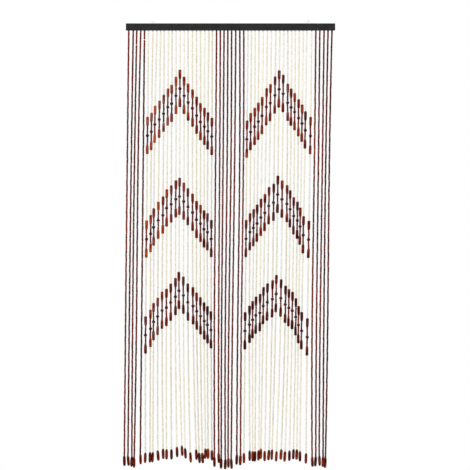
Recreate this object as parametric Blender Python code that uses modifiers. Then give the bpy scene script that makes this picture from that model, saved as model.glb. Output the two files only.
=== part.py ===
"""A bead curtain and its rail: 52 strings of wooden beads hang under a flat batten with two screw eyes.

The front faces -Y, +X is to the right and +Z is up. The origin is the centre of the rail's back face.
Sizes are in metres. A string is a four-sided rod here, which swells wherever a large bead sits; the small
beads between them are too fine for a solid. Each colour band's strings are fused at their roots into a
narrow strip, and the strip sits in a groove in the rail's underside.
"""

import math
from collections import namedtuple

import bmesh
import bpy
from mathutils import Matrix, Vector

MM = 0.001
COLLECTION = "bead_curtain"

# The rail, a flat batten with softened edges.
RAIL_LENGTH = 0.900
RAIL_HEIGHT = 0.030
RAIL_DEPTH = 0.015
RAIL_EDGE = 0.0012
RAIL_UNDERSIDE = -RAIL_HEIGHT / 2
RAIL_MIDDLE_Y = -RAIL_DEPTH / 2
GROOVE_WIDTH = 0.0076
GROOVE_DEPTH = 0.0080
GROOVE_END_WALL = 0.005
GAP = 0.0003

# The strip that holds the strings of one band.
STRIP_WIDTH = GROOVE_WIDTH - 2 * GAP
STRIP_HEIGHT = 0.0065
STRIP_TOP = RAIL_UNDERSIDE + GROOVE_DEPTH - GAP
STRIP_BOTTOM = STRIP_TOP - STRIP_HEIGHT
ROOT_OVERLAP = 0.003

# The screw eyes on the rail's top edge, bent from one wire.
EYE_SPREAD = 0.666
EYE_WIRE_RADIUS = 0.001
EYE_RING_RADIUS = 0.005
EYE_HEIGHT = 0.0085
EYE_SHANK_IN_RAIL = 0.008
EYE_MOUTH_DEGREES = 34.0
EYE_STEPS = 22
EYE_SIDES_RESOLUTION = 1
HOLE_SIDES = 16
HOLE_SPARE_DEPTH = 0.0005

# The strings.
STRING_PITCH = 0.01712
FIRST_STRING_X = -0.4386
STRING_RADIUS = 0.0030
FRONT_SWING = -0.0085
PLAIN_SPAN = 0.300

# The large beads. A carrot bead has one wide end; a round bead keeps its full width over its middle.
CARROT_LENGTH = 0.040
CARROT_RADIUS = 0.0055
CARROT_SHOULDER = 0.003
CARROT_BODY = 0.032
ROUND_RADIUS = 0.0060
ROUND_HEIGHT = 0.0110
ROUND_MIDDLE = 0.0040
FOOT_LENGTH = 0.044
FOOT_RADIUS = 0.0057
FOOT_SHOULDER = 0.009
FOOT_END_RADIUS = 0.0032

# A chevron's group on one string: carrot, round bead and upturned carrot, 160 mm in all.
GROUP_HEIGHT = 0.160
GROUP_MIDDLE = 0.081

# One colour band. From left to right and in mm, roots is how far each string starts to the right of its
# even place, leans how far its foot hangs to the right of its root, bows how far its middle and curls how
# far its first quarter lie to the right of the straight line, drops how low its tip hangs below the rail,
# and tilts how far its foot bead's tip stands to the right of the string's line. Each chevron is one row
# of how far below the rail the strings' bead groups start.
Band = namedtuple("Band", "name roots leans bows curls drops tilts chevrons")
BANDS = (
    Band(
        "strings_dark_left",
        roots=(1, 3, 1, 1, 0),
        leans=(-19, -23, -21, -29, -18),
        bows=(-1, -2, -4, -1, 0),
        curls=(0, 0, 0, -2, 0),
        drops=(1872, 1873, 1875, 1881, 1866),
        tilts=(1, 3, -2, 0, 2),
        chevrons=(),
    ),
    Band(
        "strings_cream_left",
        roots=(0, 2, 2, 1, -1, 1, -1, -2, -1, -1, -1, 1, 1, 1, 2, 3, 1),
        leans=(-13, -12, -18, -12, -4, -9, -2, 5, 9, 5, 10, 17, 12, 9, 4, -3, -2),
        bows=(-3, -4, -5, -5, -5, -4, -4, -4, -9, -5, -6, -8, -6, -5, -5, -5, -4),
        curls=(1, -1, -2, 0, 2, 0, 1, 2, 3, 2, 2, 2, 2, 2, 1, 0, 1),
        drops=(
            1861, 1858, 1858, 1850, 1843, 1845, 1846, 1834, 1830,
            1840, 1858, 1846, 1861, 1861, 1843, 1842, 1850,
        ),
        tilts=(-1, -1, -2, 3, 1, 0, 0, 1, 1, 2, 2, 0, 2, 2, -2, 0, 0),
        chevrons=(
            (372, 355, 324, 302, 276, 250, 234, 199, 169, 199, 228, 254, 285, 313, 333, 352, 376),
            (817, 794, 765, 737, 714, 684, 666, 644, 634, 654, 679, 702, 734, 750, 774, 786, 816),
            (
                1230, 1202, 1173, 1150, 1123, 1112, 1089, 1065, 1038,
                1058, 1089, 1104, 1128, 1147, 1170, 1186, 1208,
            ),
        ),
    ),
    Band(
        "strings_dark_centre",
        roots=(2, 1, 0, -1, -2, -1, -1, -1),
        leans=(-9, -7, -12, -11, -15, -20, -13, -14),
        bows=(-3, -2, -2, -2, 0, 0, 2, 1),
        curls=(1, 1, 1, 2, 2, 1, 2, 2),
        drops=(1876, 1861, 1884, 1888, 1880, 1886, 1867, 1870),
        tilts=(0, 1, -1, -1, 1, 3, -1, -1),
        chevrons=(),
    ),
    Band(
        "strings_cream_right",
        roots=(0, -2, -4, -4, -3, -2, -2, 0, 0, 0, 0, 0, -2, -2, -2, -4, 0),
        leans=(-18, -7, -10, -17, -20, -29, -29, -30, -35, -33, -30, -30, -26, -26, -28, -30, -25),
        bows=(0, -4, -2, -1, -1, 1, 1, 3, 5, 7, 9, 6, 4, 3, -1, -1, -1),
        curls=(0, 1, 2, 1, 0, 0, 0, -1, -1, -2, -1, -1, 0, 0, 1, 1, 1),
        drops=(
            1861, 1851, 1853, 1854, 1849, 1843, 1852, 1849, 1846,
            1854, 1845, 1855, 1851, 1845, 1845, 1854, 1862,
        ),
        tilts=(1, -1, 0, -1, 0, 0, 0, -2, 0, 0, -1, -1, 0, 0, -2, 0, -1),
        chevrons=(
            (388, 355, 333, 310, 286, 248, 231, 198, 172, 191, 229, 250, 270, 296, 319, 348, 372),
            (815, 786, 769, 749, 724, 703, 674, 659, 625, 645, 666, 687, 718, 736, 762, 799, 819),
            (
                1212, 1184, 1164, 1145, 1133, 1104, 1088, 1074, 1052,
                1071, 1098, 1113, 1124, 1152, 1185, 1212, 1238,
            ),
        ),
    ),
    Band(
        "strings_dark_right",
        roots=(1, 1, 2, 2, 2),
        leans=(-16, -18, -21, -22, -29),
        bows=(-4, -2, -2, -4, -1),
        curls=(2, 1, 1, 0, -2),
        drops=(1877, 1874, 1873, 1877, 1882),
        tilts=(1, -3, 2, -1, -1),
        chevrons=(),
    ),
)

# One string's values of a band's columns, in metres.
Hang = namedtuple("Hang", "root lean bow curl drop tilt")

# sRGB colour, roughness and metallic value of each material.
Finish = namedtuple("Finish", "colour roughness metallic")
FINISHES = {
    "rail_black_paint": Finish((45, 45, 46), 0.42, 0.0),
    "bead_wood_dark": Finish((70, 45, 40), 0.45, 0.0),
    "bead_wood_cream": Finish((232, 225, 192), 0.50, 0.0),
    "eye_steel": Finish((190, 190, 188), 0.30, 1.0),
}


def clear_scene():
    for obj in list(bpy.data.objects):
        bpy.data.objects.remove(obj, do_unlink=True)


def make_collection(name):
    collection = bpy.data.collections.new(name)
    bpy.context.scene.collection.children.link(collection)
    return collection


def make_material(name):
    finish = FINISHES[name]
    material = bpy.data.materials.new(name)
    material.use_nodes = True
    shader = material.node_tree.nodes["Principled BSDF"]
    linear = [math.pow(value / 255.0, 2.2) for value in finish.colour]
    shader.inputs["Base Color"].default_value = (*linear, 1.0)
    shader.inputs["Roughness"].default_value = finish.roughness
    shader.inputs["Metallic"].default_value = finish.metallic
    return material


def make_box(name, collection, low, high):
    """A box between two corners, with its size in the mesh and its origin at its centre."""
    low = Vector(low)
    high = Vector(high)
    mesh = bpy.data.meshes.new(name)
    shape = bmesh.new()
    bmesh.ops.create_cube(shape, size=1.0)
    bmesh.ops.scale(shape, vec=high - low, verts=shape.verts)
    shape.to_mesh(mesh)
    shape.free()
    box = bpy.data.objects.new(name, mesh)
    box.location = (low + high) / 2
    collection.objects.link(box)
    return box


def make_drill(name, collection, radius, foot, length):
    """An upright cylinder that rises from its foot point."""
    mesh = bpy.data.meshes.new(name)
    shape = bmesh.new()
    bmesh.ops.create_cone(
        shape,
        cap_ends=True,
        segments=HOLE_SIDES,
        radius1=radius,
        radius2=radius,
        depth=length,
        matrix=Matrix.Translation((0.0, 0.0, length / 2)),
    )
    shape.to_mesh(mesh)
    shape.free()
    drill = bpy.data.objects.new(name, mesh)
    drill.location = foot
    collection.objects.link(drill)
    return drill


def make_helper(obj):
    """Marks an object as a cutter or a piece to join, which the finished part doesn't show."""
    obj.hide_render = True
    obj.display_type = "WIRE"


def add_boolean(obj, other, operation):
    modifier = obj.modifiers.new(f"{operation.lower()} {other.name}", "BOOLEAN")
    modifier.operation = operation
    modifier.object = other


def smooth(obj, angle_degrees):
    obj.data.shade_smooth()
    obj.data.set_sharp_from_angle(angle=math.radians(angle_degrees))


def mesh_of_curve(curve, collection):
    """Replaces a curve object by a mesh of it whose caps are welded on."""
    name = curve.name
    bpy.context.view_layer.update()
    evaluated = curve.evaluated_get(bpy.context.evaluated_depsgraph_get())
    mesh = bpy.data.meshes.new_from_object(evaluated)
    shape = bmesh.new()
    shape.from_mesh(mesh)
    bmesh.ops.remove_doubles(shape, verts=shape.verts, dist=0.01 * MM)
    shape.to_mesh(mesh)
    shape.free()
    placed = curve.matrix_world.copy()
    bpy.data.objects.remove(curve, do_unlink=True)
    obj = bpy.data.objects.new(name, mesh)
    obj.matrix_world = placed
    collection.objects.link(obj)
    return obj


def make_rail(parts, cutters, material):
    """The batten, with a groove below for the strips and a blind hole above for each eye's shank."""
    rail = make_box(
        "rail",
        parts,
        (-RAIL_LENGTH / 2, -RAIL_DEPTH, -RAIL_HEIGHT / 2),
        (RAIL_LENGTH / 2, 0.0, RAIL_HEIGHT / 2),
    )
    bevel = rail.modifiers.new("softened edges", "BEVEL")
    bevel.width = RAIL_EDGE
    bevel.segments = 2
    groove_end = RAIL_LENGTH / 2 - GROOVE_END_WALL
    groove = make_box(
        "cut_groove",
        cutters,
        (-groove_end, RAIL_MIDDLE_Y - GROOVE_WIDTH / 2, RAIL_UNDERSIDE - GROOVE_DEPTH),
        (groove_end, RAIL_MIDDLE_Y + GROOVE_WIDTH / 2, RAIL_UNDERSIDE + GROOVE_DEPTH),
    )
    make_helper(groove)
    add_boolean(rail, groove, "DIFFERENCE")
    hole_depth = EYE_SHANK_IN_RAIL + HOLE_SPARE_DEPTH
    for side, x in eye_places():
        drill = make_drill(
            f"cut_hole_{side}",
            cutters,
            EYE_WIRE_RADIUS + GAP,
            (x, RAIL_MIDDLE_Y, RAIL_HEIGHT / 2 - hole_depth),
            2 * hole_depth,
        )
        make_helper(drill)
        add_boolean(rail, drill, "DIFFERENCE")
    rail.data.materials.append(material)
    return rail


def eye_places():
    return (("left", -EYE_SPREAD / 2), ("right", EYE_SPREAD / 2))


def eye_route():
    """The eye's wire from the shank's foot, up and round the ring, to just short of the shank again."""
    foot = RAIL_HEIGHT / 2 - EYE_SHANK_IN_RAIL
    centre = RAIL_HEIGHT / 2 + EYE_HEIGHT
    route = [Vector((0.0, 0.0, foot)), Vector((0.0, 0.0, RAIL_HEIGHT / 2))]
    sweep = 360.0 - EYE_MOUTH_DEGREES
    for step in range(EYE_STEPS + 1):
        turn = math.radians(sweep * step / EYE_STEPS)
        route.append(
            Vector((EYE_RING_RADIUS * math.sin(turn), 0.0, centre - EYE_RING_RADIUS * math.cos(turn)))
        )
    return route


def make_eye(name, x, parts, material):
    curve = bpy.data.curves.new(name, "CURVE")
    curve.dimensions = "3D"
    curve.twist_mode = "MINIMUM"
    curve.bevel_depth = EYE_WIRE_RADIUS
    curve.bevel_resolution = EYE_SIDES_RESOLUTION
    curve.use_fill_caps = True
    route = eye_route()
    spline = curve.splines.new("POLY")
    spline.points.add(len(route) - 1)
    for point, place in zip(spline.points, route):
        point.co = (*place, 1.0)
    wire = bpy.data.objects.new(name, curve)
    wire.location = (x, RAIL_MIDDLE_Y, 0.0)
    parts.objects.link(wire)
    eye = mesh_of_curve(wire, parts)
    smooth(eye, 50.0)
    eye.data.materials.append(material)
    return eye


def carrot_stations(top, wide_end_up):
    """(drop, radius) down one carrot bead whose upper end lies at top."""
    stations = (
        (0.0, STRING_RADIUS),
        (CARROT_SHOULDER, CARROT_RADIUS),
        (CARROT_BODY, CARROT_RADIUS),
        (CARROT_LENGTH, STRING_RADIUS),
    )
    if wide_end_up:
        return [(top + along, radius) for along, radius in stations]
    return [(top + CARROT_LENGTH - along, radius) for along, radius in reversed(stations)]


def group_stations(top):
    """(drop, radius) down one chevron group: carrot, round bead and upturned carrot."""
    middle = top + GROUP_MIDDLE
    round_bead = [
        (middle - ROUND_HEIGHT / 2, STRING_RADIUS),
        (middle - ROUND_MIDDLE / 2, ROUND_RADIUS),
        (middle + ROUND_MIDDLE / 2, ROUND_RADIUS),
        (middle + ROUND_HEIGHT / 2, STRING_RADIUS),
    ]
    lower = carrot_stations(top + GROUP_HEIGHT - CARROT_LENGTH, False)
    return carrot_stations(top, True) + round_bead + lower


def string_stations(tip, group_tops):
    """(drop, radius) down a whole string, from inside the strip to the foot bead's tip."""
    stations = [(RAIL_UNDERSIDE - STRIP_BOTTOM - ROOT_OVERLAP, STRING_RADIUS)]
    for top in group_tops:
        stations += group_stations(top)
    foot = tip - FOOT_LENGTH
    plain_from = stations[-1][0]
    spans = math.ceil((foot - plain_from) / PLAIN_SPAN)
    for span in range(1, spans):
        stations.append((plain_from + (foot - plain_from) * span / spans, STRING_RADIUS))
    stations += [
        (foot, FOOT_END_RADIUS),
        (foot + FOOT_SHOULDER, FOOT_RADIUS),
        (tip - FOOT_SHOULDER, FOOT_RADIUS),
        (tip, FOOT_END_RADIUS),
    ]
    return stations


def band_hangs(band):
    """How each of the band's strings hangs, from left to right."""
    columns = zip(band.roots, band.leans, band.bows, band.curls, band.drops, band.tilts)
    return [Hang(*(value * MM for value in values)) for values in columns]


def string_place(string, hang, drop):
    """The point at a drop below the rail. Where s is the drop's share of the whole string, x is root + lean s
    + bow 4 s (1 - s) + curl sin(2 pi s), and the tilt adds to it along the foot bead. Every other string
    swings out."""
    share = max(drop, 0.0) / hang.drop
    along_foot = max(0.0, drop - hang.drop + FOOT_LENGTH) / FOOT_LENGTH
    x = FIRST_STRING_X + STRING_PITCH * string + hang.root + hang.lean * share
    x += hang.bow * 4.0 * share * (1.0 - share) + hang.curl * math.sin(math.tau * share)
    x += hang.tilt * along_foot
    swing = 0.0 if string % 2 else FRONT_SWING
    return Vector((x, RAIL_MIDDLE_Y + swing * share, RAIL_UNDERSIDE - drop))


def make_strings(name, band, first_string, cutters):
    """All of a band's strings as one closed mesh of separate four-sided rods."""
    curve = bpy.data.curves.new(name, "CURVE")
    curve.dimensions = "3D"
    curve.twist_mode = "MINIMUM"
    curve.bevel_depth = 1.0
    curve.bevel_resolution = 0
    curve.use_fill_caps = True
    for place_in_band, hang in enumerate(band_hangs(band)):
        group_tops = [tops[place_in_band] * MM for tops in band.chevrons]
        stations = string_stations(hang.drop, group_tops)
        spline = curve.splines.new("POLY")
        spline.points.add(len(stations) - 1)
        for point, (down, radius) in zip(spline.points, stations):
            point.co = (*string_place(first_string + place_in_band, hang, down), 1.0)
            point.radius = radius
    wires = bpy.data.objects.new(name, curve)
    cutters.objects.link(wires)
    return mesh_of_curve(wires, cutters)


def strip_ends(first_string, count):
    """The strip's two ends, halfway to the next band's first string, or in the groove's end."""
    groove_end = RAIL_LENGTH / 2 - GROOVE_END_WALL - GAP
    low = FIRST_STRING_X + STRING_PITCH * (first_string - 0.5) + GAP / 2
    high = FIRST_STRING_X + STRING_PITCH * (first_string + count - 0.5) - GAP / 2
    return max(low, -groove_end), min(high, groove_end)


def make_band(band, first_string, parts, cutters, material):
    """One band's strip with its strings fused into it."""
    low, high = strip_ends(first_string, len(band.leans))
    strip = make_box(
        band.name,
        parts,
        (low, RAIL_MIDDLE_Y - STRIP_WIDTH / 2, STRIP_BOTTOM),
        (high, RAIL_MIDDLE_Y + STRIP_WIDTH / 2, STRIP_TOP),
    )
    strings = make_strings(f"{band.name}_rods", band, first_string, cutters)
    make_helper(strings)
    add_boolean(strip, strings, "UNION")
    strip.data.materials.append(material)
    return strip


def main():
    clear_scene()
    parts = make_collection(COLLECTION)
    cutters = make_collection(f"{COLLECTION}_cutters")
    cutters.hide_render = True
    make_rail(parts, cutters, make_material("rail_black_paint"))
    steel = make_material("eye_steel")
    for side, x in eye_places():
        make_eye(f"eye_{side}", x, parts, steel)
    dark = make_material("bead_wood_dark")
    cream = make_material("bead_wood_cream")
    first_string = 0
    for band in BANDS:
        make_band(band, first_string, parts, cutters, cream if band.chevrons else dark)
        first_string += len(band.leans)


main()
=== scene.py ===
"""The looks of a bead curtain on its rail, laid out as a Blender add-on and run as a script.

The front faces -Y, +X is to the right and +Z is up. The origin is the centre of the rail's back face. Sizes
are in metres. A drop is a distance below the rail's underside. Strings and beads hang where the solids hang:
the same sizes and formulas place them here. A tone goes from 0 for a finish's deepest stain to 1 for its
lightest.
"""

import math
from collections import namedtuple

import bpy
import numpy as np
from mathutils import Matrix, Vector


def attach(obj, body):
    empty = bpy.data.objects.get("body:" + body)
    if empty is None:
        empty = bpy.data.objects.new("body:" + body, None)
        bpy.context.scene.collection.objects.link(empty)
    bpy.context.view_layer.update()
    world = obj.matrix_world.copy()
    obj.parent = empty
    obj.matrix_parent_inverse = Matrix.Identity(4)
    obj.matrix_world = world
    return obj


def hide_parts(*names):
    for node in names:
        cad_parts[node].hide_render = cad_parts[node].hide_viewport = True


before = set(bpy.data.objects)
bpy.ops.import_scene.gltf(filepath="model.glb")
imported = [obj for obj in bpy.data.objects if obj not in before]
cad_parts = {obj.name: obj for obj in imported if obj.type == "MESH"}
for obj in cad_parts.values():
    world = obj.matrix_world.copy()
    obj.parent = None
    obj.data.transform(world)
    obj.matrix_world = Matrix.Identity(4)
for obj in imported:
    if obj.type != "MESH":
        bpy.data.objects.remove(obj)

bl_info = {
    "name": "Bead curtain",
    "version": (1, 0, 0),
    "blender": (4, 5, 0),
    "location": "View3D > Sidebar > Bead curtain",
    "description": "Beads, threads, finishes and stage of a bead curtain on its rail",
    "category": "Object",
}

MM = 0.001
BODY = "root"
SEED = 20

# The rail and the groove in its underside.
RAIL_LENGTH = 0.900
RAIL_HEIGHT = 0.030
RAIL_DEPTH = 0.015
RAIL_UNDERSIDE = -RAIL_HEIGHT / 2
RAIL_MIDDLE_Y = -RAIL_DEPTH / 2
GROOVE_WIDTH = 0.0076
GROOVE_DEPTH = 0.0080
GROOVE_END_WALL = 0.005
GAP = 0.0003
STRIP_HEIGHT = 0.0065
STRIP_CHAMFER = 0.4 * MM
STRIP_TOP = RAIL_UNDERSIDE + GROOVE_DEPTH - GAP
STRIP_BOTTOM = STRIP_TOP - STRIP_HEIGHT

# The screw eyes: a shank that ends a neck below the ring, and a ring that is open at its mouth.
EYE_SPREAD = 0.666
EYE_RING_RADIUS = 0.005
EYE_HEIGHT = 0.0085
EYE_NECK = 0.0012
EYE_SHANK_IN_RAIL = 0.008
EYE_START_DEGREES = 14.0
EYE_MOUTH_DEGREES = 34.0
EYE_SHANK_POINTS = 8
EYE_RING_POINTS = 56
EYE_WIRE_SIDES = 12

# The strings. Every other one swings forward towards its foot. The shake is a faint wave of the thread, full
# from a sixth of the way down. Each thread ends a little above its foot bead's tip.
STRING_PITCH = 0.01712
FIRST_STRING_X = -0.4386
FRONT_SWING = -0.0085
SHAKE = 0.00035
SHAKE_LENGTH = 0.062
SHAKE_GROWTH = 6.0
THREAD_END_ABOVE_TIP = 2 * MM
THREAD_POINTS = 60
THREAD_SIDES = 5

# What a string's fixed uneven numbers are for.
FOR_SHAKE = 7
FOR_TONE = 9

# The large beads.
CARROT_LENGTH = 0.040
ROUND_HEIGHT = 0.0125
FOOT_LENGTH = 0.044
GROUP_HEIGHT = 0.160
GROUP_MIDDLE = 0.081

# One chevron: how far below the rail each string's bead group starts, in mm, and how warm its large beads are
# at its left and right ends, from 0 for umber to 1 for amber. The warmth is partly the beads' own stain and
# partly painted light: it is higher at the left and on the upper chevrons, where the light falls from the
# upper left.
Chevron = namedtuple("Chevron", "tops left_warmth right_warmth")

# One colour band. From left to right and in mm, roots is how far each string starts to the right of its even
# place, leans how far its foot hangs to the right of its root, bows how far its middle and curls how far its
# first quarter lie to the right of the straight line, drops how low its tip hangs, and tilts how far its foot
# bead's tip stands to the right of the string's line.
Band = namedtuple("Band", "name roots leans bows curls drops tilts chevrons")
BANDS = (
    Band(
        "strings_dark_left",
        roots=(1, 3, 1, 1, 0),
        leans=(-19, -23, -21, -29, -18),
        bows=(-1, -2, -4, -1, 0),
        curls=(0, 0, 0, -2, 0),
        drops=(1872, 1873, 1875, 1881, 1866),
        tilts=(1, 3, -2, 0, 2),
        chevrons=(),
    ),
    Band(
        "strings_cream_left",
        roots=(0, 2, 2, 1, -1, 1, -1, -2, -1, -1, -1, 1, 1, 1, 2, 3, 1),
        leans=(-13, -12, -18, -12, -4, -9, -2, 5, 9, 5, 10, 17, 12, 9, 4, -3, -2),
        bows=(-3, -4, -5, -5, -5, -4, -4, -4, -9, -5, -6, -8, -6, -5, -5, -5, -4),
        curls=(1, -1, -2, 0, 2, 0, 1, 2, 3, 2, 2, 2, 2, 2, 1, 0, 1),
        drops=(
            1861, 1858, 1858, 1850, 1843, 1845, 1846, 1834, 1830,
            1840, 1858, 1846, 1861, 1861, 1843, 1842, 1850,
        ),
        tilts=(-1, -1, -2, 3, 1, 0, 0, 1, 1, 2, 2, 0, 2, 2, -2, 0, 0),
        chevrons=(
            Chevron(
                (372, 355, 324, 302, 276, 250, 234, 199, 169, 199, 228, 254, 285, 313, 333, 352, 376),
                left_warmth=0.88,
                right_warmth=0.44,
            ),
            Chevron(
                (817, 794, 765, 737, 714, 684, 666, 644, 634, 654, 679, 702, 734, 750, 774, 786, 816),
                left_warmth=0.78,
                right_warmth=0.37,
            ),
            Chevron(
                (
                    1230, 1202, 1173, 1150, 1123, 1112, 1089, 1065, 1038,
                    1058, 1089, 1104, 1128, 1147, 1170, 1186, 1208,
                ),
                left_warmth=0.69,
                right_warmth=0.15,
            ),
        ),
    ),
    Band(
        "strings_dark_centre",
        roots=(2, 1, 0, -1, -2, -1, -1, -1),
        leans=(-9, -7, -12, -11, -15, -20, -13, -14),
        bows=(-3, -2, -2, -2, 0, 0, 2, 1),
        curls=(1, 1, 1, 2, 2, 1, 2, 2),
        drops=(1876, 1861, 1884, 1888, 1880, 1886, 1867, 1870),
        tilts=(0, 1, -1, -1, 1, 3, -1, -1),
        chevrons=(),
    ),
    Band(
        "strings_cream_right",
        roots=(0, -2, -4, -4, -3, -2, -2, 0, 0, 0, 0, 0, -2, -2, -2, -4, 0),
        leans=(-18, -7, -10, -17, -20, -29, -29, -30, -35, -33, -30, -30, -26, -26, -28, -30, -25),
        bows=(0, -4, -2, -1, -1, 1, 1, 3, 5, 7, 9, 6, 4, 3, -1, -1, -1),
        curls=(0, 1, 2, 1, 0, 0, 0, -1, -1, -2, -1, -1, 0, 0, 1, 1, 1),
        drops=(
            1861, 1851, 1853, 1854, 1849, 1843, 1852, 1849, 1846,
            1854, 1845, 1855, 1851, 1845, 1845, 1854, 1862,
        ),
        tilts=(1, -1, 0, -1, 0, 0, 0, -2, 0, 0, -1, -1, 0, 0, -2, 0, -1),
        chevrons=(
            Chevron(
                (388, 355, 333, 310, 286, 248, 231, 198, 172, 191, 229, 250, 270, 296, 319, 348, 372),
                left_warmth=0.48,
                right_warmth=0.48,
            ),
            Chevron(
                (815, 786, 769, 749, 724, 703, 674, 659, 625, 645, 666, 687, 718, 736, 762, 799, 819),
                left_warmth=0.44,
                right_warmth=0.3,
            ),
            Chevron(
                (
                    1212, 1184, 1164, 1145, 1133, 1104, 1088, 1074, 1052,
                    1071, 1098, 1113, 1124, 1152, 1185, 1212, 1238,
                ),
                left_warmth=0.23,
                right_warmth=0.18,
            ),
        ),
    ),
    Band(
        "strings_dark_right",
        roots=(1, 1, 2, 2, 2),
        leans=(-16, -18, -21, -22, -29),
        bows=(-4, -2, -2, -4, -1),
        curls=(2, 1, 1, 0, -2),
        drops=(1877, 1874, 1873, 1877, 1882),
        tilts=(1, -3, 2, -1, -1),
        chevrons=(),
    ),
)
CHEVRON_BANDS = tuple(band for band in BANDS if band.chevrons)

# A band with this many strings or more is made as two pieces, so that each stays light enough.
WIDE_BAND = 10

# Mean tones, how far whole strings differ from them, and how far single beads vary. The finishes of threads,
# strips and eyes don't read their tone.
CREAM_FOOT_WARMTH = 0.38
DARK_FOOT_WARMTH = 0.18
SMALL_BEAD_TONE = 0.5
ROUND_BEAD_TONE = 0.5
TUBE_TONE = 0.5
STRING_TONE_SPREAD = 0.3
CREAM_BEAD_SPREAD = 0.25
DARK_BEAD_SPREAD = 0.45
CARROT_SPREAD = 0.18
ROUND_BEAD_SPREAD = 0.4
FOOT_SPREAD = 0.2

# How unevenly beads are turned and threaded, in shares of their radius: how far a bead lies off its thread's
# line, how much further each of its ends does, and the least and greatest radius.
BEAD_SLACK = 0.08
END_SLACK = 0.03
LEAST_RADIUS = 0.93
GREATEST_RADIUS = 1.03

# Where two strings show bare thread between beads: the string's number, the drop and the gap.
BareSpot = namedtuple("BareSpot", "string drop gap")
BARE_SPOTS = (BareSpot(4, 0.036, 0.0035), BareSpot(2, 0.060, 0.0030))

# A turned shape: its profile as (share of the length, share of the radius) from its first end, which is the
# upper one but on the chevrons' lower carrots, how many sides it has, and how many times as wide as high its
# cell in a piece's map is.
TurnedShape = namedtuple("TurnedShape", "profile sides cell")
SMALL_BEAD = TurnedShape(((0.0, 0.80), (0.14, 1.0), (0.86, 1.0), (1.0, 0.80)), sides=8, cell=2.0)
CARROT = TurnedShape(
    (
        (0.0, 0.74), (0.025, 0.93), (0.07, 1.0), (0.45, 1.0),
        (0.72, 0.98), (0.86, 0.91), (0.95, 0.76), (1.0, 0.60),
    ),
    sides=10,
    cell=0.7,
)
ROUND_BEAD = TurnedShape(
    (
        (0.0, 0.42), (0.08, 0.65), (0.20, 0.84), (0.35, 0.96), (0.50, 1.0),
        (0.65, 0.96), (0.80, 0.84), (0.92, 0.65), (1.0, 0.42),
    ),
    sides=12,
    cell=2.0,
)
FOOT_BEAD = TurnedShape(
    (
        (0.0, 0.56), (0.05, 0.72), (0.14, 0.90), (0.26, 0.98), (0.38, 1.0),
        (0.68, 1.0), (0.80, 0.96), (0.91, 0.82), (0.97, 0.66), (1.0, 0.52),
    ),
    sides=12,
    cell=0.7,
)

# The cells of an eye or strip and of a long thread, and the turn at an edge from which it stays sharp.
SHORT_TUBE_CELL = 0.3
THREAD_CELL = 0.1
SHARP_EDGE_DEGREES = 52.0

# The layout of one cell of a piece's map, in shares of the cell: the unrolled wall below, and the caps above.
WALL_START = 0.03
WALL_WIDTH = 0.94
WALL_HEIGHT = 0.74
CAP_RADIUS = 0.08
FIRST_CAP_MIDDLE = (0.25, 0.89)
LAST_CAP_MIDDLE = (0.75, 0.89)

# Wood: the fine grain's lines, how many times as long as wide the broad figure's streaks are, how far down a
# bead's painted end shade reaches, and how far the patterns shift as a bead's tone goes from 0 to 1.
GRAIN_WIDTH = 0.5 * MM
GRAIN_LENGTH = 6.0 * MM
FIGURE_STRETCH = 3.6
END_SHADE_REACH = 0.25
TONE_SHIFT = (3.1, 5.7, 1.3)

# The thread's twist. A diagonal wave texture of scale 1 repeats every tau / 10.
TWIST_LENGTH = 3.158 * MM
WAVE_REPEAT = math.tau / 10.0

# A Mix node's settings where it mixes or multiplies colours, and the numbers of its sockets for colours.
MIXED = {"data_type": "RGBA"}
MULTIPLIED = {"data_type": "RGBA", "blend_type": "MULTIPLY"}
MIX_SHARE = 0
MIX_LOW = 6
MIX_HIGH = 7
MIX_RESULT = 2

# The photograph's frame, in metres at the curtain.
FRAME_WIDTH = 2.022
FRAME_CENTRE_X = 0.0192
FRAME_CENTRE_Z = -0.895
CAMERA_DISTANCE = 8.0
CAMERA_SENSOR_MM = 36.0

# The stage.
FLOOR_BELOW_TIPS = 0.06
FLOOR_HALF_WIDTH = 0.60
FLOOR_FRONT = -0.35
FLOOR_BACK = 0.25
WORLD_LIGHT = 0.25

# A square soft light: where it hangs, the point it is turned to, its width and its power.
SoftLight = namedtuple("SoftLight", "name place aim width watts")
SOFT_LIGHTS = (
    SoftLight("key", (-3.5, -6.9, 4.9), (0.0, 0.0, -0.4), 3.5, 860.0),
    SoftLight("fill", (3.9, -6.8, 3.9), (0.0, 0.0, -0.5), 4.0, 350.0),
    SoftLight("back_left", (-2.5, 6.0, 6.0), (0.0, 0.0, -0.9), 3.0, 300.0),
    SoftLight("back_right", (2.5, 6.0, 6.0), (0.0, 0.0, -0.9), 3.0, 300.0),
)


def linear(hex_colour):
    """Turns an sRGB hex colour into linear red, green and blue."""
    shares = [int(hex_colour[start:start + 2], 16) / 255.0 for start in (1, 3, 5)]
    return tuple(s / 12.92 if s <= 0.04045 else ((s + 0.055) / 1.055) ** 2.4 for s in shares)


def colour_property(name, hex_colour, description):
    return bpy.props.FloatVectorProperty(
        name=name,
        description=description,
        default=linear(hex_colour),
        subtype="COLOR",
        size=3,
        min=0.0,
        max=1.0,
    )


def length_property(name, metres, description):
    return bpy.props.FloatProperty(
        name=name,
        description=description,
        default=metres,
        min=0.0,
        precision=5,
        subtype="DISTANCE",
        unit="LENGTH",
    )


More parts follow.
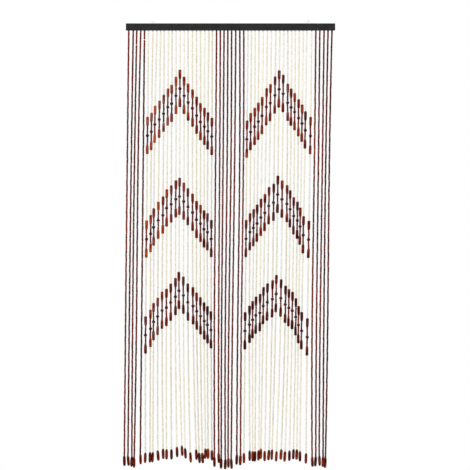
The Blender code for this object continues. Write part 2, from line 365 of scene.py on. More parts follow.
class BeadCurtainSizes(bpy.types.PropertyGroup):
    dark_radius: length_property("Dark bead radius", 0.00395, "Radius of the small dark barrel beads")
    cream_radius: length_property("Cream bead radius", 0.0032, "Radius of the small cream barrel beads")
    cream_pitch: length_property("Cream pitch", 0.0071, "Length that one cream bead takes on its string")
    dark_pitch: length_property("Dark pitch", 0.0076, "Length that one dark bead takes on its string")
    bead_space: length_property("Bead space", 0.00012, "Free thread between two small beads")
    carrot_radius: length_property("Carrot radius", 0.0064, "Radius of the chevrons' long beads")
    round_radius: length_property("Round bead radius", 0.0075, "Radius of the chevrons' round beads")
    foot_radius: length_property("Foot radius", 0.0064, "Radius of the spindle bead at each foot")
    thread_radius: length_property("Thread radius", 0.0005, "Radius of the thread")
    eye_wire_radius: length_property("Eye wire radius", 0.001, "Radius of the screw eyes' wire")


class BeadCurtainColours(bpy.types.PropertyGroup):
    rail: colour_property("Rail", "#19191A", "Satin black paint on the rail")
    dark_low: colour_property("Dark bead, deep", "#2A0602", "Deepest stain on the dark beads")
    dark_high: colour_property("Dark bead, light", "#93290C", "Lightest stain on the dark beads")
    cream_low: colour_property("Cream bead, deep", "#D3CDB3", "Cream paint where it is thin or aged")
    cream_high: colour_property("Cream bead, light", "#F4F0DE", "Cream paint where it is thick")
    umber: colour_property("Varnished bead, umber", "#3C0A02", "Darkest stain under the varnish")
    maroon: colour_property("Varnished bead, maroon", "#621904", "Deep red stain under the varnish")
    russet: colour_property("Varnished bead, russet", "#882C12", "Red-brown stain under the varnish")
    amber: colour_property("Varnished bead, amber", "#BA5423", "Lightest stain under the varnish")
    round_bead: colour_property("Round bead", "#4E1008", "Nearly black stain on the round beads")
    thread: colour_property("Thread", "#6B5A4A", "Waxed thread")
    steel: colour_property("Eye steel", "#E4E4E1", "Zinc-plated wire of the eyes")
    floor: colour_property("Floor", "#DEDEDB", "Plain pale floor")


# One string: its number from the left, its band, its values of the band's columns in metres, where tip is its
# drop, and its groups' (top, warmth with painted light).
HungString = namedtuple("HungString", "number band root lean bow curl tip tilt groups")

# Many turned beads, as arrays with one row for each bead: the middles of their two ends, their radii, how far
# they are turned about their thread, and their tones.
Beads = namedtuple("Beads", "tops bottoms radii turns tones")


def uneven(string, purpose):
    """A fixed number from -1 to 1 for one string and one purpose, the same in every run: the far decimals of
    a large sine."""
    return 2.0 * ((math.sin(12.9898 * string + 78.233 * purpose) * 43758.5453) % 1.0) - 1.0


def hung_strings():
    """Every string from left to right, with its groups' tops and how warm their large beads are, with the
    painted light that makes them lighter at the left and higher up.
    """
    strings = []
    for band in BANDS:
        columns = zip(band.roots, band.leans, band.bows, band.curls, band.drops, band.tilts)
        for place, values in enumerate(columns):
            across = place / (len(band.leans) - 1)
            groups = []
            for chevron in band.chevrons:
                # Painted light: the warmth runs from the left end's value to the right end's, so the beads
                # come out lighter where the light falls.
                warmth_and_light = chevron.left_warmth + (chevron.right_warmth - chevron.left_warmth) * across
                groups.append((chevron.tops[place] * MM, warmth_and_light))
            strings.append(HungString(len(strings), band, *(value * MM for value in values), tuple(groups)))
    return strings


def strings_of(band):
    return [string for string in hung_strings() if string.band.name == band.name]


def halves(strings):
    """Splits a wide band's strings in two, under the endings of their pieces' names."""
    if len(strings) < WIDE_BAND:
        return {"": strings}
    middle = (len(strings) + 1) // 2
    return {"_a": strings[:middle], "_b": strings[middle:]}


def string_points(string, drops):
    """Points on a string: x = root + lean s + bow 4 s (1 - s) + curl sin(2 pi s) + shake and
    y = middle + swing s, where s is the drop's share of the whole string. The tilt adds to x along the foot
    bead."""
    drops = np.asarray(drops, float)
    share = np.maximum(drops, 0.0) / string.tip
    swing = 0.0 if string.number % 2 else FRONT_SWING
    growth = np.minimum(1.0, SHAKE_GROWTH * share)
    shake = SHAKE * np.sin(math.tau * (drops / SHAKE_LENGTH + uneven(string.number, FOR_SHAKE))) * growth
    along_foot = np.maximum(0.0, drops - string.tip + FOOT_LENGTH) / FOOT_LENGTH
    bow = string.bow * 4.0 * share * (1.0 - share)
    bend = string.lean * share + bow + string.curl * np.sin(math.tau * share)
    root = FIRST_STRING_X + STRING_PITCH * string.number + string.root
    x = root + bend + string.tilt * along_foot + shake
    return np.stack([x, RAIL_MIDDLE_Y + swing * share, RAIL_UNDERSIDE - drops], axis=-1)


def group_tops(string):
    return np.array([top for top, _ in string.groups])


def plain_stretches(string):
    """(start, end) drops of the string's own small beads, between its groups."""
    starts = [0.0] + [top + GROUP_HEIGHT for top, _ in string.groups]
    ends = [top for top, _ in string.groups] + [string.tip - FOOT_LENGTH]
    return list(zip(starts, ends))


def group_stretches(string):
    """(start, end) drops of the dark small beads inside the groups."""
    stretches = []
    for top, _ in string.groups:
        middle = top + GROUP_MIDDLE
        stretches.append((top + CARROT_LENGTH, middle - ROUND_HEIGHT / 2))
        stretches.append((middle + ROUND_HEIGHT / 2, top + GROUP_HEIGHT - CARROT_LENGTH))
    return stretches


def small_bead_rows(string, stretches, pitch, space):
    """(top, bottom) drops of small beads, which fill the stretches evenly at about the pitch."""
    tops, bottoms = [], []
    for start, end in stretches:
        spots = [spot for spot in BARE_SPOTS if spot.string == string.number and start < spot.drop < end]
        filled = end - start - sum(spot.gap for spot in spots)
        count = max(1, round(filled / pitch))
        step = filled / count
        row = start + step * np.arange(count)
        for spot in spots:
            row = row + spot.gap * (row > spot.drop)
        tops.append(row + space / 2)
        bottoms.append(row + step - space / 2)
    return np.concatenate(tops), np.concatenate(bottoms)


def beads_on(strings, drops_of, radius, tone_of, spread):
    """Beads for several strings. drops_of gives a string's (top, bottom) drops and tone_of their mean tones.
    Each bead sits a little off the thread's line, and its size, turn and tone vary."""
    parts = []
    for string in strings:
        random = np.random.default_rng([SEED, string.number])
        top_drops, bottom_drops = drops_of(string)
        count = len(top_drops)
        bead_slack = BEAD_SLACK * random.uniform(-1.0, 1.0, (count, 3))
        end_slack = END_SLACK * random.uniform(-1.0, 1.0, (2, count, 3))
        slack = radius * (bead_slack + end_slack)
        tones = tone_of(string) + spread * random.uniform(-1.0, 1.0, count)
        parts.append(
            Beads(
                string_points(string, top_drops) + slack[0],
                string_points(string, bottom_drops) + slack[1],
                radius * random.uniform(LEAST_RADIUS, GREATEST_RADIUS, count),
                random.uniform(0.0, math.tau, count),
                np.clip(tones, 0.0, 1.0),
            )
        )
    return Beads(*(np.concatenate(column) for column in zip(*parts)))


def turned_rings(beads, shape):
    """Rings of turned beads: point = top + (bottom - top) a + radius r (cos t U + sin t V), where (a, r) runs
    down the shape's profile, t runs round, and U and V stand square to the bead's axis."""
    along, out = np.array(shape.profile).T
    angles = math.tau * np.arange(shape.sides) / shape.sides
    axis = beads.bottoms - beads.tops
    unit = axis / np.linalg.norm(axis, axis=1, keepdims=True)
    across = np.cross(unit, (0.0, 1.0, 0.0))
    across /= np.linalg.norm(across, axis=1, keepdims=True)
    forward = np.cross(unit, across)
    angle = angles[None, :] + beads.turns[:, None]
    around = np.cos(angle)[..., None] * across[:, None] + np.sin(angle)[..., None] * forward[:, None]
    centres = beads.tops[:, None] + axis[:, None] * along[None, :, None]
    reach = beads.radii[:, None] * out[None, :]
    return centres[:, :, None] + reach[:, :, None, None] * around[:, None]


def tube_rings(paths, radius, sides):
    """Rings of tubes along paths: point = path + radius (cos t U + sin t V), where V points forward, square
    to the path, and U is square to both. paths holds one row of points for each tube."""
    ahead = np.gradient(paths, axis=1)
    across = np.cross(ahead, (0.0, 1.0, 0.0))
    across /= np.linalg.norm(across, axis=2, keepdims=True)
    forward = np.cross(ahead, across)
    forward /= np.linalg.norm(forward, axis=2, keepdims=True)
    angles = math.tau * np.arange(sides) / sides
    cos = np.cos(angles)[None, None, :, None]
    sin = np.sin(angles)[None, None, :, None]
    return paths[:, :, None] + radius * (cos * across[:, :, None] + sin * forward[:, :, None])


def strip_rings(strings):
    """Rings of the strip that holds neighbouring strings: a rectangle with cut corners, carried along X
    between two ends."""
    groove_end = RAIL_LENGTH / 2 - GROOVE_END_WALL - GAP
    low = max(FIRST_STRING_X + STRING_PITCH * (strings[0].number - 0.5) + GAP / 2, -groove_end)
    high = min(FIRST_STRING_X + STRING_PITCH * (strings[-1].number + 0.5) - GAP / 2, groove_end)
    half = GROOVE_WIDTH / 2 - GAP
    outline = (
        (half - STRIP_CHAMFER, STRIP_BOTTOM),
        (half, STRIP_BOTTOM + STRIP_CHAMFER),
        (half, STRIP_TOP - STRIP_CHAMFER),
        (half - STRIP_CHAMFER, STRIP_TOP),
        (STRIP_CHAMFER - half, STRIP_TOP),
        (-half, STRIP_TOP - STRIP_CHAMFER),
        (-half, STRIP_BOTTOM + STRIP_CHAMFER),
        (STRIP_CHAMFER - half, STRIP_BOTTOM),
    )
    y, z = np.array(outline).T
    x = np.array((low, (low + high) / 2, high))[:, None]
    return np.stack([x + 0 * y, RAIL_MIDDLE_Y + y + 0 * x, z + 0 * x], axis=-1)[None]


def ring_faces(ring_count, sides):
    """Corner numbers of one closed shape: a quad between each ring and the next, then a cap at either end."""
    ring = sides * np.arange(ring_count - 1)[:, None]
    side = np.arange(sides)[None, :]
    after = (side + 1) % sides
    quads = np.stack([ring + side, ring + sides + side, ring + sides + after, ring + after], axis=-1)
    first_cap = np.arange(sides)
    last_cap = sides * (ring_count - 1) + np.arange(sides)[::-1]
    return quads.reshape(-1, 4), first_cap, last_cap


def cell_map(shapes, ring_count, sides, cell):
    """A map with one cell for each shape, which is cell times as wide as high: the wall is unrolled in the
    cell's lower part, u round and v along, and the caps are discs above it."""
    ring = np.arange(ring_count - 1)[:, None]
    side = np.arange(sides)[None, :]
    left, right = side + 0 * ring, side + 1 + 0 * ring
    near, far = ring + 0 * side, ring + 1 + 0 * side
    u = np.stack([left, left, right, right], axis=-1) / sides
    v = np.stack([near, far, far, near], axis=-1) / (ring_count - 1)
    wall = np.stack([WALL_START + WALL_WIDTH * u, WALL_START + WALL_HEIGHT * v], axis=-1).reshape(-1, 2)
    angles = math.tau * np.arange(sides) / sides
    disc = CAP_RADIUS * np.stack([np.cos(angles), np.sin(angles)], axis=-1)
    corners = np.concatenate([wall, disc + FIRST_CAP_MIDDLE, disc[::-1] + LAST_CAP_MIDDLE])
    columns = max(1, math.ceil(math.sqrt(shapes / cell)))
    rows = math.ceil(shapes / columns)
    number = np.arange(shapes)
    place = np.stack([number % columns, number // columns], axis=-1)
    return ((place[:, None] + corners[None]) / (columns, rows)).reshape(-1, 2)


def ring_piece(name, rings, tones, cell, material):
    """Makes one piece of closed shapes, from their rings of points. It stores each shape's tone and how far
    along the shape each point lies, from 0 to 1, for the material to read."""
    shapes, ring_count, sides, _ = rings.shape
    quads, first_cap, last_cap = ring_faces(ring_count, sides)
    corners = np.concatenate([quads.ravel(), first_cap, last_cap])
    sizes = np.concatenate([np.full(len(quads), 4), (sides, sides)])
    offsets = ring_count * sides * np.arange(shapes)[:, None]
    starts = np.concatenate([(0,), np.cumsum(sizes)[:-1]])
    mesh = bpy.data.meshes.new(name)
    mesh.vertices.add(shapes * ring_count * sides)
    mesh.vertices.foreach_set("co", rings.astype(np.float32).ravel())
    mesh.loops.add(shapes * len(corners))
    mesh.loops.foreach_set("vertex_index", (offsets + corners).astype(np.int32).ravel())
    mesh.polygons.add(shapes * len(sizes))
    loop_starts = len(corners) * np.arange(shapes)[:, None] + starts
    mesh.polygons.foreach_set("loop_start", loop_starts.astype(np.int32).ravel())
    mesh.update(calc_edges=True)
    tone = mesh.attributes.new("tone", "FLOAT", "POINT")
    tone.data.foreach_set("value", np.repeat(tones, ring_count * sides).astype(np.float32))
    along = mesh.attributes.new("along", "FLOAT", "POINT")
    ring_share = np.repeat(np.linspace(0.0, 1.0, ring_count), sides)
    along.data.foreach_set("value", np.tile(ring_share, shapes).astype(np.float32))
    layer = mesh.uv_layers.new(name="OFBake")
    layer.data.foreach_set("uv", cell_map(shapes, ring_count, sides, cell).astype(np.float32).ravel())
    mesh.validate()
    mesh.shade_smooth()
    mesh.set_sharp_from_angle(angle=math.radians(SHARP_EDGE_DEGREES))
    mesh.materials.append(material)
    piece = bpy.data.objects.new(name, mesh)
    bpy.context.scene.collection.objects.link(piece)
    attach(piece, BODY)
    return piece


def bead_piece(name, band, beads, shape, material):
    """Makes one piece of a band's turned beads, which stands for the band's rods."""
    piece = ring_piece(name, turned_rings(beads, shape), beads.tones, shape.cell, material)
    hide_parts(band.name)


def rgba(colour):
    return (*colour, 1.0)


def grey(share):
    return (share, share, share, 1.0)


def scaled(colour, factor):
    return rgba([factor * value for value in colour])


def add_node(tree, kind, inputs, stops=(), **settings):
    """Adds a node, sets its properties and its (place, colour) stops, and gives each input a value or the
    output socket that feeds it."""
    node = tree.nodes.new(kind)
    for name, value in settings.items():
        setattr(node, name, value)
    for name, value in inputs.items():
        if isinstance(value, bpy.types.NodeSocket):
            tree.links.new(value, node.inputs[name])
        else:
            node.inputs[name].default_value = value
    if stops:
        elements = node.color_ramp.elements
        while len(elements) < len(stops):
            elements.new(0.5)
        for element, (place, colour) in zip(elements, stops):
            element.position = place
            element.color = colour
    return node


def new_material(name, **sockets):
    """A material with a Principled shader whose sockets are set, and its node tree, its shader and the socket
    of its Object coordinates."""
    material = bpy.data.materials.new(name)
    material.use_nodes = True
    tree = material.node_tree
    shader = tree.nodes["Principled BSDF"]
    for socket, value in sockets.items():
        shader.inputs[socket.replace("_", " ")].default_value = value
    place = add_node(tree, "ShaderNodeTexCoord", {}).outputs["Object"]
    return material, tree, shader, place


def finish_surface(tree, shader, colour, relief, strength, distance):
    """Gives a material its colour, and a fine relief that is distance high where strength is 1."""
    tree.links.new(colour, shader.inputs["Base Color"])
    inputs = {"Height": relief, "Strength": strength, "Distance": distance}
    bump = add_node(tree, "ShaderNodeBump", inputs)
    tree.links.new(bump.outputs["Normal"], shader.inputs["Normal"])


def mottle(tree, place, size, detail, roughness=0.5):
    """Uneven patches that are about as long as size says, in metres along X, Y and Z."""
    scale = [1 / length for length in size]
    sized = add_node(tree, "ShaderNodeMapping", {"Vector": place, "Scale": scale})
    inputs = {"Vector": sized.outputs[0], "Scale": 1.0, "Detail": detail, "Roughness": roughness}
    return add_node(tree, "ShaderNodeTexNoise", inputs).outputs["Fac"]


def wood_streaks(tree, place, tone, across, along):
    """Streaks of wood down a bead, across wide and along long, in metres. Each bead's tone shifts them, so
    that no two beads match."""
    shift = add_node(tree, "ShaderNodeVectorMath", {0: TONE_SHIFT, "Scale": tone}, operation="SCALE")
    moved = add_node(tree, "ShaderNodeVectorMath", {0: place, 1: shift.outputs[0]}, operation="ADD")
    return mottle(tree, moved.outputs[0], (across, across, along), detail=3.0, roughness=0.6)


def turned_wood(name, stains, ends, depth, figure, figure_width, **sockets):
    """Wood for beads. A bead's own tone picks its colour from the stains, from the deepest to the lightest,
    and the wood's broad figure, in streaks figure_width wide, moves it by up to half of figure either way.
    Fine grain darkens it by up to depth, and its ends are darker by ends: partly stain and wax that gather
    there, and partly painted shade where a bead meets its neighbours. Real figure is 1 to 2 mm wide: on the
    large beads it is drawn coarser, so that it shows in the frame."""
    material, tree, shader, place = new_material(name, **sockets)
    tone = add_node(tree, "ShaderNodeAttribute", {}, attribute_name="tone").outputs["Fac"]
    along = add_node(tree, "ShaderNodeAttribute", {}, attribute_name="along").outputs["Fac"]
    broad = wood_streaks(tree, place, tone, figure_width, FIGURE_STRETCH * figure_width)
    grain = wood_streaks(tree, place, tone, GRAIN_WIDTH, GRAIN_LENGTH)
    low = add_node(tree, "ShaderNodeMath", {0: tone, 1: figure / 2}, operation="SUBTRACT")
    inputs = {0: broad, 1: figure, 2: low.outputs[0]}
    share = add_node(tree, "ShaderNodeMath", inputs, operation="MULTIPLY_ADD", use_clamp=True)
    stops = [(number / (len(stains) - 1), rgba(stain)) for number, stain in enumerate(stains)]
    body = add_node(tree, "ShaderNodeValToRGB", {"Fac": share.outputs[0]}, stops)
    inputs = {MIX_SHARE: grain, MIX_LOW: grey(1.0 - depth), MIX_HIGH: grey(1.0)}
    lines = add_node(tree, "ShaderNodeMix", inputs, **MIXED)
    inputs = {MIX_SHARE: 1.0, MIX_LOW: body.outputs["Color"], MIX_HIGH: lines.outputs[MIX_RESULT]}
    veined = add_node(tree, "ShaderNodeMix", inputs, **MULTIPLIED)
    # Painted shade: each bead darkens towards both ends, where it meets the next bead, on top of the stain
    # that gathers there.
    stops = (
        (0.0, grey(1.0 - ends)),
        (END_SHADE_REACH, grey(1.0)),
        (1.0 - END_SHADE_REACH, grey(1.0)),
        (1.0, grey(1.0 - ends)),
    )
    shade = add_node(tree, "ShaderNodeValToRGB", {"Fac": along}, stops)
    inputs = {MIX_SHARE: 1.0, MIX_LOW: veined.outputs[MIX_RESULT], MIX_HIGH: shade.outputs["Color"]}
    shaded = add_node(tree, "ShaderNodeMix", inputs, **MULTIPLIED)
    finish_surface(tree, shader, shaded.outputs[MIX_RESULT], grain, strength=0.25, distance=0.05 * MM)
    return material


def stained_wood(colours):
    """Dark small beads: beech turned, tumbled in dark brown stain and waxed. Stain lies unevenly from bead to
    bead and in the figure, so a string looks flecked, with a soft low shine."""
    return turned_wood(
        "stained_beech",
        (colours.dark_low, colours.dark_high),
        ends=0.35,
        depth=0.5,
        figure=1.6,
        figure_width=1.8 * MM,
        Roughness=0.35,
        Specular_IOR_Level=0.05,
    )


def cream_painted_wood(colours):
    """Cream beads: the same beads dipped in thin cream paint, an even satin coat that lets a little grain
    through."""
    return turned_wood(
        "cream_painted_beech",
        (colours.cream_low, colours.cream_high),
        ends=0.15,
        depth=0.1,
        figure=0.4,
        figure_width=2.5 * MM,
        Roughness=0.55,
        Specular_IOR_Level=0.3,
    )


def varnished_wood(colours):
    """Large beads: wood with a strong figure, turned, stained from umber to amber and dipped in clear
    varnish. The figure flames through it, the ends are darker, and the varnish gives small clear glints."""
    return turned_wood(
        "varnished_redwood",
        (colours.umber, colours.maroon, colours.russet, colours.amber),
        ends=0.5,
        depth=0.5,
        figure=3.0,
        figure_width=5.0 * MM,
        Roughness=0.3,
        Specular_IOR_Level=0.06,
        Coat_Weight=0.08,
        Coat_Roughness=0.1,
    )


def ebonised_wood(colours):
    """Round beads: hardwood turned, stained nearly black and waxed, which leaves an even soft shine."""
    return turned_wood(
        "ebonised_hardwood",
        ([0.5 * value for value in colours.round_bead], colours.round_bead),
        ends=0.2,
        depth=0.4,
        figure=0.2,
        figure_width=5.0 * MM,
        Roughness=0.3,
        Specular_IOR_Level=0.15,
    )


def rail_paint(colours):
    """Rail: planed softwood sprayed satin black. The paint is a little thin in patches, and the wood's long
    grain just shows through it."""
    material, tree, shader, place = new_material("satin_black_paint", Roughness=0.3, Specular_IOR_Level=0.25)
    grain = mottle(tree, place, (60.0 * MM, 1.5 * MM, 1.5 * MM), detail=4.0)
    patches = mottle(tree, place, (20.0 * MM, 8.0 * MM, 8.0 * MM), detail=2.0)
    inputs = {MIX_SHARE: patches, MIX_LOW: scaled(colours.rail, 0.4), MIX_HIGH: scaled(colours.rail, 2.4)}
    paint = add_node(tree, "ShaderNodeMix", inputs, **MIXED)
    inputs = {MIX_SHARE: grain, MIX_LOW: grey(0.8), MIX_HIGH: grey(1.1)}
    lines = add_node(tree, "ShaderNodeMix", inputs, **MIXED)
    inputs = {MIX_SHARE: 1.0, MIX_LOW: paint.outputs[MIX_RESULT], MIX_HIGH: lines.outputs[MIX_RESULT]}
    veined = add_node(tree, "ShaderNodeMix", inputs, **MULTIPLIED)
    finish_surface(tree, shader, veined.outputs[MIX_RESULT], grain, strength=0.2, distance=0.1 * MM)
    return material


def waxed_thread(colours):
    """Thread: twisted polyester, waxed, so matt, with a fine slanted twist."""
    material, tree, shader, place = new_material("waxed_thread", Roughness=0.7)
    inputs = {"Vector": place, "Scale": WAVE_REPEAT / TWIST_LENGTH, "Distortion": 0.5}
    twist = add_node(tree, "ShaderNodeTexWave", inputs, bands_direction="DIAGONAL").outputs["Fac"]
    inputs = {MIX_SHARE: twist, MIX_LOW: scaled(colours.thread, 0.6), MIX_HIGH: rgba(colours.thread)}
    body = add_node(tree, "ShaderNodeMix", inputs, **MIXED)
    finish_surface(tree, shader, body.outputs[MIX_RESULT], twist, strength=0.4, distance=0.05 * MM)
    return material


def zinc_wire(colours):
    """Eyes: drawn steel wire, bright zinc-plated, which gives a pale and slightly mottled shine."""
    material, tree, shader, place = new_material("zinc_plated_wire", Metallic=1.0, Roughness=0.45)
    crystals = mottle(tree, place, (0.7 * MM, 0.7 * MM, 0.7 * MM), detail=2.0)
    inputs = {MIX_SHARE: crystals, MIX_LOW: scaled(colours.steel, 0.8), MIX_HIGH: rgba(colours.steel)}
    body = add_node(tree, "ShaderNodeMix", inputs, **MIXED)
    finish_surface(tree, shader, body.outputs[MIX_RESULT], crystals, strength=0.15, distance=0.02 * MM)
    return material


def pale_floor(colours):
    """Floor: matt painted board, even and pale, with a faint tooth."""
    material, tree, shader, place = new_material("matt_painted_board", Roughness=0.9)
    tooth = mottle(tree, place, (3.0 * MM, 3.0 * MM, 3.0 * MM), detail=2.0)
    inputs = {MIX_SHARE: tooth, MIX_LOW: scaled(colours.floor, 0.97), MIX_HIGH: rgba(colours.floor)}
    body = add_node(tree, "ShaderNodeMix", inputs, **MIXED)
    tree.links.new(body.outputs[MIX_RESULT], shader.inputs["Base Color"])
    return material


class BEADCURTAIN_OT_rail(bpy.types.Operator):
    """Paints the rail"""

    bl_idname = "bead_curtain.rail"
    bl_label = "Rail"

    def execute(self, context):
        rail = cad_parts["rail"]
        rail.data.materials.clear()
        rail.data.materials.append(rail_paint(context.scene.bead_curtain_colours))
        return {"FINISHED"}


class BEADCURTAIN_OT_eyes(bpy.types.Operator):
    """Makes the two screw eyes, each a wire along a shank and round a ring with a small mouth"""

    bl_idname = "bead_curtain.eyes"
    bl_label = "Screw eyes"

    def execute(self, context):
        radius = context.scene.bead_curtain_sizes.eye_wire_radius
        steel = zinc_wire(context.scene.bead_curtain_colours)
        rail_top = RAIL_HEIGHT / 2
        centre = rail_top + EYE_HEIGHT
        shank_ends = (rail_top - EYE_SHANK_IN_RAIL, centre - EYE_RING_RADIUS - EYE_NECK)
        shank = np.linspace(*shank_ends, EYE_SHANK_POINTS)
        turn_ends = (EYE_START_DEGREES, 360.0 - EYE_MOUTH_DEGREES)
        turn = np.radians(np.linspace(*turn_ends, EYE_RING_POINTS))
        x, z = EYE_RING_RADIUS * np.sin(turn), centre - EYE_RING_RADIUS * np.cos(turn)
        ring = np.stack([x, 0 * turn, z], axis=-1)
        stem = np.stack([0 * shank, 0 * shank, shank], axis=-1)
        route = np.concatenate([stem, ring])
        for side, x in (("left", -EYE_SPREAD / 2), ("right", EYE_SPREAD / 2)):
            path = route + (x, RAIL_MIDDLE_Y, 0.0)
            rings = tube_rings(path[None], radius, EYE_WIRE_SIDES)
            eye = ring_piece(f"wire_{side}", rings, [TUBE_TONE], SHORT_TUBE_CELL, steel)
            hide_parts(f"eye_{side}")
        return {"FINISHED"}


class BEADCURTAIN_OT_threads(bpy.types.Operator):
    """Makes each band's threads and the strip in the groove that holds them"""

    bl_idname = "bead_curtain.threads"
    bl_label = "Threads and strips"

    def execute(self, context):
        radius = context.scene.bead_curtain_sizes.thread_radius
        thread = waxed_thread(context.scene.bead_curtain_colours)
        paint = rail_paint(context.scene.bead_curtain_colours)
        for band in BANDS:
            strings = strings_of(band)
            paths = []
            for string in strings:
                ends = (RAIL_UNDERSIDE - STRIP_BOTTOM, string.tip - THREAD_END_ABOVE_TIP)
                paths.append(string_points(string, np.linspace(*ends, THREAD_POINTS)))
            name = band.name.replace("strings", "threads")
            rings = tube_rings(np.array(paths), radius, THREAD_SIDES)
            threads = ring_piece(name, rings, [TUBE_TONE] * len(strings), THREAD_CELL, thread)
            name = band.name.replace("strings", "strip")
            rings = strip_rings(strings)
            strip = ring_piece(name, rings, [TUBE_TONE], SHORT_TUBE_CELL, paint)
            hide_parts(band.name)
            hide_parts(band.name)
        return {"FINISHED"}


class BEADCURTAIN_OT_small_beads(bpy.types.Operator):
    """Threads the small barrel beads of every band, and the dark ones inside the chevrons"""

    bl_idname = "bead_curtain.small_beads"
    bl_label = "Small beads"

    def execute(self, context):
        sizes = context.scene.bead_curtain_sizes
        dark = stained_wood(context.scene.bead_curtain_colours)
        cream = cream_painted_wood(context.scene.bead_curtain_colours)
        cream_beads = (sizes.cream_radius, sizes.cream_pitch, CREAM_BEAD_SPREAD, cream, "bead_cream")
        dark_beads = (sizes.dark_radius, sizes.dark_pitch, DARK_BEAD_SPREAD, dark, "bead_dark")

        def string_tone(string):
            return SMALL_BEAD_TONE + STRING_TONE_SPREAD * uneven(string.number, FOR_TONE)

        def group_rows(string):
            return small_bead_rows(string, group_stretches(string), sizes.cream_pitch, sizes.bead_space)

        for band in BANDS:
            radius, pitch, spread, material, slot = cream_beads if band.chevrons else dark_beads

            def own_rows(string):
                return small_bead_rows(string, plain_stretches(string), pitch, sizes.bead_space)

            for half, strings in halves(strings_of(band)).items():
                name = band.name.replace("strings", "beads") + half
                beads = beads_on(strings, own_rows, radius, string_tone, spread)
                bead_piece(name, band, beads, SMALL_BEAD, material)
            if band.chevrons:
                name = band.name.replace("strings", "chevron_beads")
                strings = strings_of(band)
                beads = beads_on(strings, group_rows, sizes.dark_radius, string_tone, DARK_BEAD_SPREAD)
                bead_piece(name, band, beads, SMALL_BEAD, dark)
        return {"FINISHED"}


class BEADCURTAIN_OT_carrots(bpy.types.Operator):
    """Threads two long varnished beads into each chevron group, with their wide ends outwards"""

    bl_idname = "bead_curtain.carrots"
    bl_label = "Carrot beads"

    def execute(self, context):
        radius = context.scene.bead_curtain_sizes.carrot_radius
        varnish = varnished_wood(context.scene.bead_curtain_colours)

        def group_warmths_and_light(string):
            # A group's warmth picks its stain and carries painted light, lighter at the left and on the upper
            # chevrons.
            return np.array([warmth_and_light for _, warmth_and_light in string.groups])

        def upper_rows(string):
            return group_tops(string), group_tops(string) + CARROT_LENGTH

        def lower_rows(string):
            ends = group_tops(string) + GROUP_HEIGHT
            return ends, ends - CARROT_LENGTH

        for band in CHEVRON_BANDS:
            for place, rows in (("upper", upper_rows), ("lower", lower_rows)):
                name = band.name.replace("strings", f"carrots_{place}")
                beads = beads_on(strings_of(band), rows, radius, group_warmths_and_light, CARROT_SPREAD)
                bead_piece(name, band, beads, CARROT, varnish)
        return {"FINISHED"}


class BEADCURTAIN_OT_round_beads(bpy.types.Operator):
    """Threads a nearly black round bead into the middle of each chevron group"""

    bl_idname = "bead_curtain.round_beads"
    bl_label = "Round beads"

    def execute(self, context):
        radius = context.scene.bead_curtain_sizes.round_radius
        ebony = ebonised_wood(context.scene.bead_curtain_colours)

        def middle_rows(string):
            middles = group_tops(string) + GROUP_MIDDLE
            return middles - ROUND_HEIGHT / 2, middles + ROUND_HEIGHT / 2

        def even_tone(string):
            return ROUND_BEAD_TONE

        for band in CHEVRON_BANDS:
            name = band.name.replace("strings", "round_beads")
            beads = beads_on(strings_of(band), middle_rows, radius, even_tone, ROUND_BEAD_SPREAD)
            bead_piece(name, band, beads, ROUND_BEAD, ebony)
        return {"FINISHED"}


class BEADCURTAIN_OT_feet(bpy.types.Operator):
    """Threads a varnished spindle bead onto the foot of each string"""

    bl_idname = "bead_curtain.feet"
    bl_label = "Foot beads"

    def execute(self, context):
        radius = context.scene.bead_curtain_sizes.foot_radius
        varnish = varnished_wood(context.scene.bead_curtain_colours)

        def foot_rows(string):
            tip = np.array([string.tip])
            return tip - FOOT_LENGTH, tip

        def foot_warmth(string):
            return CREAM_FOOT_WARMTH if string.band.chevrons else DARK_FOOT_WARMTH

        for band in BANDS:
            name = band.name.replace("strings", "feet")
            beads = beads_on(strings_of(band), foot_rows, radius, foot_warmth, FOOT_SPREAD)
            bead_piece(name, band, beads, FOOT_BEAD, varnish)
        return {"FINISHED"}


def add_light(soft_light):
    """Hangs a square soft light that the camera doesn't see, turned towards what it shines on."""
    data = bpy.data.lights.new(soft_light.name, "AREA")
    data.energy = soft_light.watts
    data.size = soft_light.width
    light = bpy.data.objects.new(soft_light.name, data)
    light.location = soft_light.place
    towards = Vector(soft_light.aim) - Vector(soft_light.place)
    light.rotation_euler = towards.to_track_quat("-Z", "Y").to_euler()
    light.visible_camera = False
    bpy.context.scene.collection.objects.link(light)


def set_world():
    """White for the camera, and an even soft white light on the curtain."""
    world = bpy.data.worlds.new("studio")
    bpy.context.scene.world = world
    world.use_nodes = True
    tree = world.node_tree
    tree.nodes.clear()
    seen = add_node(tree, "ShaderNodeBackground", {"Color": grey(1.0), "Strength": 1.0})
    lit = add_node(tree, "ShaderNodeBackground", {"Color": grey(1.0), "Strength": WORLD_LIGHT})
    path = add_node(tree, "ShaderNodeLightPath", {})
    inputs = {0: path.outputs["Is Camera Ray"], 1: lit.outputs[0], 2: seen.outputs[0]}
    mix = add_node(tree, "ShaderNodeMixShader", inputs)
    add_node(tree, "ShaderNodeOutputWorld", {"Surface": mix.outputs[0]})


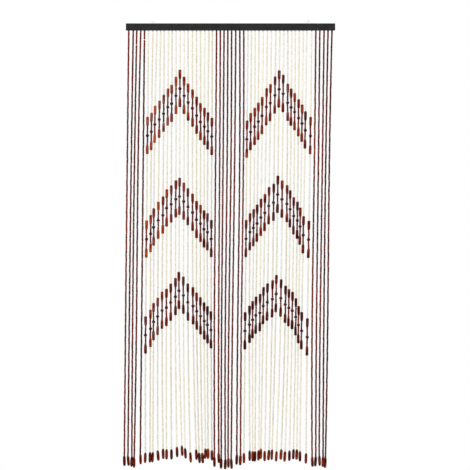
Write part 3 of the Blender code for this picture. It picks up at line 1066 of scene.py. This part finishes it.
class BEADCURTAIN_OT_stage(bpy.types.Operator):
    """Sets the pale floor, the soft studio light and the camera square on to the curtain"""

    bl_idname = "bead_curtain.stage"
    bl_label = "Stage"

    def execute(self, context):
        scene = context.scene
        lowest = RAIL_UNDERSIDE - max(max(band.drops) for band in BANDS) * MM
        across = (-FLOOR_HALF_WIDTH, FLOOR_HALF_WIDTH)
        corners = [(x, y, lowest - FLOOR_BELOW_TIPS) for y in (FLOOR_FRONT, FLOOR_BACK) for x in across]
        mesh = bpy.data.meshes.new("floor")
        mesh.from_pydata(corners, [], [(0, 1, 3, 2)])
        mesh.materials.append(pale_floor(scene.bead_curtain_colours))
        floor = bpy.data.objects.new("floor", mesh)
        scene.collection.objects.link(floor)
        set_world()
        for soft_light in SOFT_LIGHTS:
            add_light(soft_light)
        scene.view_settings.view_transform = "Standard"
        data = bpy.data.cameras.new("camera")
        data.sensor_width = CAMERA_SENSOR_MM
        data.lens = CAMERA_SENSOR_MM * CAMERA_DISTANCE / FRAME_WIDTH
        camera = bpy.data.objects.new("camera", data)
        camera.location = (FRAME_CENTRE_X, RAIL_MIDDLE_Y - CAMERA_DISTANCE, FRAME_CENTRE_Z)
        camera.rotation_euler = (math.pi / 2, 0.0, 0.0)
        scene.collection.objects.link(camera)
        scene.camera = camera
        return {"FINISHED"}


OPERATORS = (
    BEADCURTAIN_OT_stage,
    BEADCURTAIN_OT_rail,
    BEADCURTAIN_OT_eyes,
    BEADCURTAIN_OT_threads,
    BEADCURTAIN_OT_small_beads,
    BEADCURTAIN_OT_carrots,
    BEADCURTAIN_OT_round_beads,
    BEADCURTAIN_OT_feet,
)


class BEADCURTAIN_PT_sidebar(bpy.types.Panel):
    """Lists the curtain's pieces, sizes and colours"""

    bl_idname = "BEADCURTAIN_PT_sidebar"
    bl_label = "Bead curtain"
    bl_space_type = "VIEW_3D"
    bl_region_type = "UI"
    bl_category = "Bead curtain"

    def draw(self, context):
        for operator in OPERATORS:
            self.layout.operator(operator.bl_idname)
        for group in (context.scene.bead_curtain_sizes, context.scene.bead_curtain_colours):
            box = self.layout.box()
            for name in group.__annotations__:
                box.prop(group, name)


CLASSES = (BeadCurtainSizes, BeadCurtainColours, *OPERATORS, BEADCURTAIN_PT_sidebar)


def register():
    for item in CLASSES:
        bpy.utils.register_class(item)
    bpy.types.Scene.bead_curtain_sizes = bpy.props.PointerProperty(type=BeadCurtainSizes)
    bpy.types.Scene.bead_curtain_colours = bpy.props.PointerProperty(type=BeadCurtainColours)


def unregister():
    del bpy.types.Scene.bead_curtain_colours
    del bpy.types.Scene.bead_curtain_sizes
    for item in reversed(CLASSES):
        bpy.utils.unregister_class(item)


def main():
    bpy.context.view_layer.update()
    register()
    bpy.ops.bead_curtain.stage()
    bpy.ops.bead_curtain.rail()
    bpy.ops.bead_curtain.eyes()
    bpy.ops.bead_curtain.threads()
    bpy.ops.bead_curtain.small_beads()
    bpy.ops.bead_curtain.carrots()
    bpy.ops.bead_curtain.round_beads()
    bpy.ops.bead_curtain.feet()


if __name__ == "__main__":
    main()
